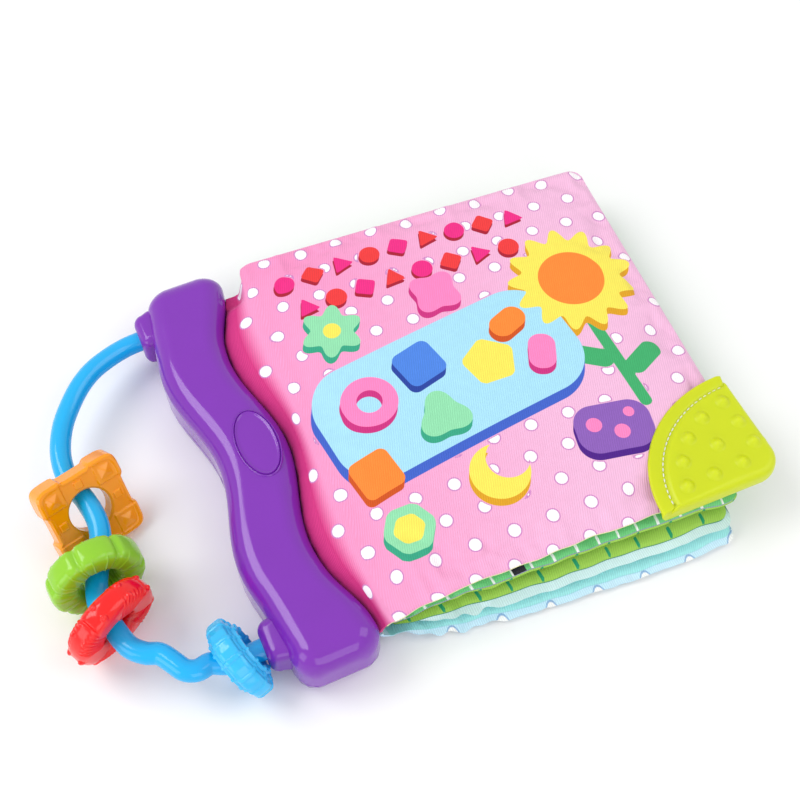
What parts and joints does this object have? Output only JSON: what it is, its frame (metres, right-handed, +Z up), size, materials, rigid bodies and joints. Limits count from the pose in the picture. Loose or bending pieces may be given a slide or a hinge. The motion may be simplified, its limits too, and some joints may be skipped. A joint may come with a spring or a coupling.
{
  "type": "crinkle cloth book",
  "caption": "Padded cloth book with crinkly leaves, clamped in a wavy plastic handle whose looped bail carries toy rings, with a nubbed corner teether on the cover.",
  "frame": {"origin": "on the handle's flat underside, midway between the two bosses of the bail", "axes": "+X from the handle to the book's fore-edge, +Y along the handle towards the book's top, +Z up out of the front cover"},
  "size_m": [0.2646, 0.1835, 0.0355],
  "materials": {
    "handle_plastic": "glossy moulded purple ABS",
    "screw_steel": "zinc-plated steel",
    "bail_plastic": "glossy moulded sky blue plastic",
    "spine_fabric": "folded pink polyester tape",
    "cover_fabric": "printed pink polyester with white dots",
    "green_fabric": "printed green polyester",
    "aqua_fabric": "printed turquoise polyester",
    "back_fabric": "printed pale blue polyester",
    "wadding": "white polyester wadding",
    "crinkle_film": "thin crackling polyester film",
    "teether_silicone": "satin yellow-green silicone",
    "orange_plastic": "glossy moulded orange plastic",
    "green_plastic": "glossy moulded light green plastic",
    "red_plastic": "glossy moulded red plastic",
    "blue_plastic": "glossy moulded light blue plastic"
  },
  "bodies": {
    "handle": {"handle_top_shell": "handle_plastic", "handle_bottom_shell": "handle_plastic", "oval_cap": "handle_plastic", "handle_screw_1": "screw_steel", "handle_screw_2": "screw_steel", "handle_screw_3": "screw_steel", "handle_screw_4": "screw_steel", "bail": "bail_plastic", "spine_tape": "spine_fabric"},
    "page_one": {"page_one_upper_panel": "green_fabric", "page_one_lower_panel": "green_fabric", "page_one_wadding": "wadding", "page_one_crinkle_film": "crinkle_film", "front_gutter_web": "cover_fabric"},
    "front_cover": {"front_cover_upper_panel": "cover_fabric", "front_cover_lower_panel": "green_fabric", "front_cover_wadding": "wadding", "front_cover_crinkle_film": "crinkle_film", "corner_teether": "teether_silicone"},
    "page_two": {"page_two_upper_panel": "green_fabric", "page_two_lower_panel": "back_fabric", "page_two_wadding": "wadding", "page_two_crinkle_film": "crinkle_film", "back_gutter_web": "back_fabric"},
    "back_cover": {"back_cover_upper_panel": "aqua_fabric", "back_cover_lower_panel": "back_fabric", "back_cover_wadding": "wadding", "back_cover_crinkle_film": "crinkle_film"},
    "square_ring": {"ring_square": "orange_plastic"},
    "lobed_ring": {"ring_lobed": "green_plastic"},
    "ridged_ring": {"ring_ridged": "red_plastic"},
    "stepped_ring": {"ring_stepped": "blue_plastic"}
  },
  "joints": [
    {"name": "page_one_turn", "type": "hinge", "parent": "handle", "child": "page_one", "pos_m": [0.0251, 0, 0.01365], "axis": [-0.0304, -0.9995, 0], "range_deg": [0, 25]},
    {"name": "front_cover_turn", "type": "hinge", "parent": "page_one", "child": "front_cover", "pos_m": [0.0251, 0, 0.024], "axis": [-0.0304, -0.9995, 0], "range_deg": [0, 70]},
    {"name": "page_two_turn", "type": "hinge", "parent": "handle", "child": "page_two", "pos_m": [0.0251, 0, 0.01365], "axis": [-0.0304, -0.9995, 0], "range_deg": [-25, 0]},
    {"name": "back_cover_turn", "type": "hinge", "parent": "page_two", "child": "back_cover", "pos_m": [0.0251, 0, 0.0033], "axis": [-0.0304, -0.9995, 0], "range_deg": [-45, 0]},
    {"name": "square_ring_travel", "type": "hinge", "parent": "handle", "child": "square_ring", "pos_m": [-0.016, 0.024, 0.0175], "axis": [0, 0, -1], "range_deg": [0, 72]},
    {"name": "lobed_ring_spin", "type": "hinge", "parent": "handle", "child": "lobed_ring", "pos_m": [-0.0646, -0.022, 0.018], "axis": [0.1216, -0.9907, 0.061], "continuous": true},
    {"name": "ridged_ring_spin", "type": "hinge", "parent": "handle", "child": "ridged_ring", "pos_m": [-0.0648, -0.041, 0.0178], "axis": [0.4515, -0.8861, -0.1045], "continuous": true},
    {"name": "stepped_ring_travel", "type": "hinge", "parent": "handle", "child": "stepped_ring", "pos_m": [-0.03, -0.05, 0.0175], "axis": [0, 0, -1], "range_deg": [0, 56]}
  ]
}
